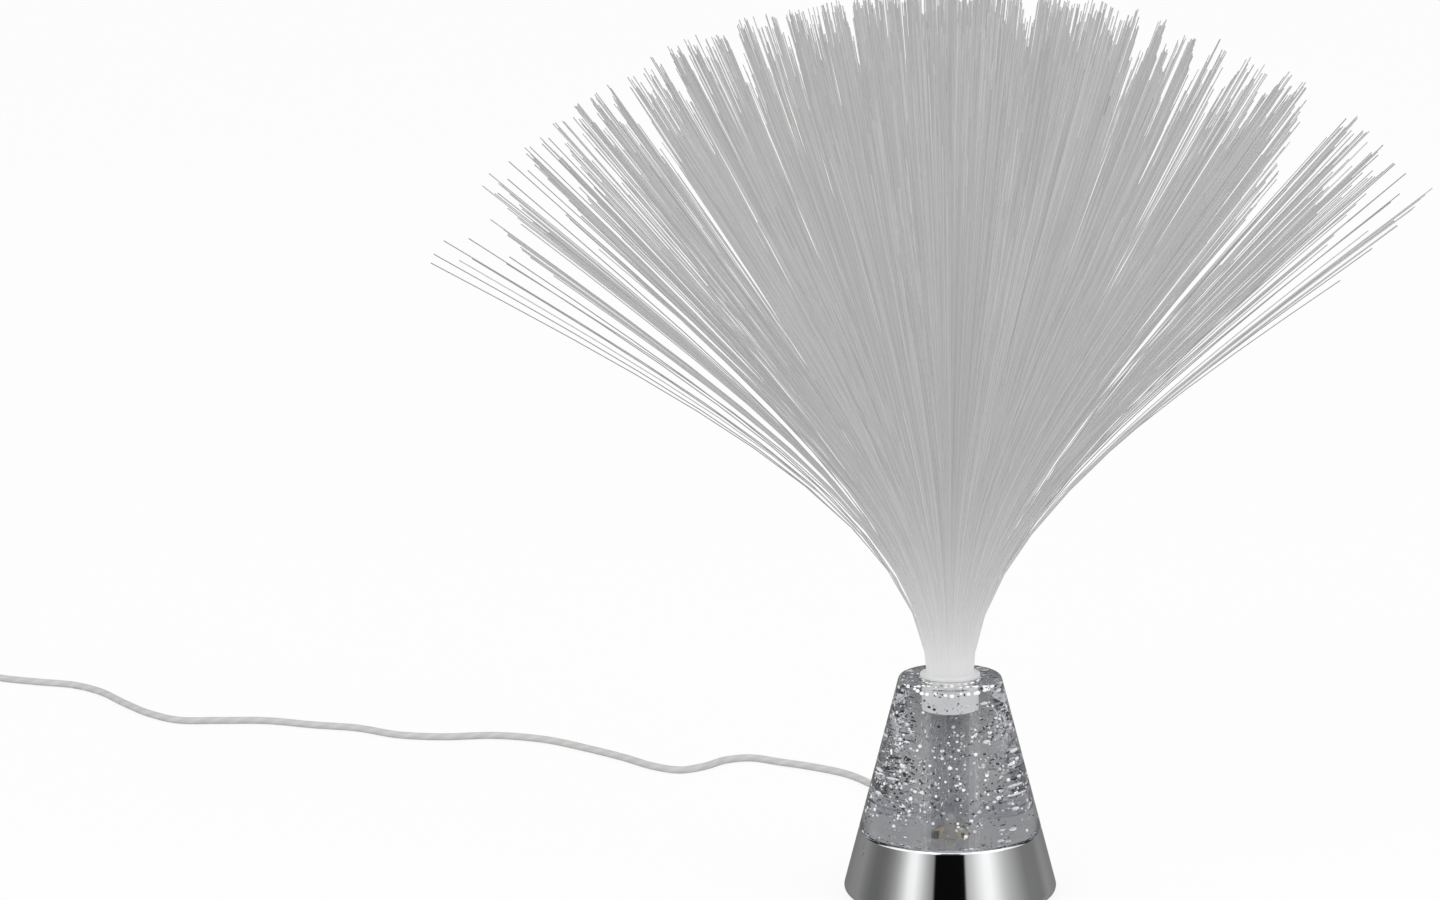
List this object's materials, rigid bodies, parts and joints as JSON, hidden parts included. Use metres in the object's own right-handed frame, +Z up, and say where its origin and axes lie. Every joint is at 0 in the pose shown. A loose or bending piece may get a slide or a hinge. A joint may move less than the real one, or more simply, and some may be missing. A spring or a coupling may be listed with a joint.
{
  "type": "led table lamp",
  "caption": "Chrome cone with a clear glitter-filled acrylic cone on it, which lights a lift-out spray of plastic fibres from below, on a white cord with a rocker switch and a plug.",
  "frame": {"origin": "centre of the foam pad's underside, on the table", "axes": "+Z up along the cone's axis, -Y towards the viewer, and the cord leaves the base towards +Y"},
  "size_m": [0.7171, 0.5375, 0.3391],
  "materials": {
    "chrome": "mirror-bright plating",
    "acrylic": "polished clear, filled with silver glitter",
    "white_plastic": "moulded satin",
    "fibre": "clear fibres that look grey in a mass",
    "board": "fibreglass laminate",
    "led_lens": "clear epoxy",
    "chip": "matt",
    "steel": "plated",
    "brass": "plain",
    "black_plastic": "moulded matt",
    "foam": "matt foam",
    "rubber": "soft satin",
    "cord": "satin sheath",
    "red_wire": "satin sheath"
  },
  "bodies": {
    "base": {"chrome_shell": "chrome", "acrylic_cone": "acrylic", "led_board": "board", "led": "led_lens", "led_driver_chip": "chip", "led_resistor": "chip", "board_carrier": "white_plastic", "carrier_screw_left": "steel", "carrier_screw_right": "steel", "clamp_screw_left": "steel", "clamp_screw_right": "steel", "bottom_cover": "black_plastic", "cover_screw_1": "steel", "cover_screw_2": "steel", "cover_screw_3": "steel", "base_pad": "foam", "ballast_ring": "steel", "cord_grommet": "rubber", "cord_clamp": "white_plastic", "wire_positive": "red_wire", "wire_negative": "black_plastic", "cord_lead": "cord", "switch_lower_shell": "white_plastic", "switch_upper_shell": "white_plastic", "switch_contact_fixed": "brass", "switch_contact_spring": "brass", "switch_bridge_wire": "red_wire", "switch_screw": "steel", "cord_link": "cord", "cord_coil": "cord", "coil_tie": "black_plastic", "cord_tail": "cord", "plug_body": "white_plastic", "plug_shell": "steel", "plug_tongue": "white_plastic"},
    "spray": {"fibre_ferrule": "white_plastic", "fibre_spray_rear_right": "fibre", "fibre_spray_rear_left": "fibre", "fibre_spray_front_left": "fibre", "fibre_spray_front_right": "fibre"},
    "rocker": {"switch_rocker": "white_plastic"}
  },
  "joints": [
    {"name": "spray_lift", "type": "slide", "parent": "base", "child": "spray", "axis": [0, 0, 1], "range_m": [0, 0.015]},
    {"name": "rocker_tilt", "type": "hinge", "parent": "base", "child": "rocker", "pos_m": [-0.453, 0.352, 0.0082], "axis": [0, -1, 0], "range_deg": [0, 16]}
  ]
}
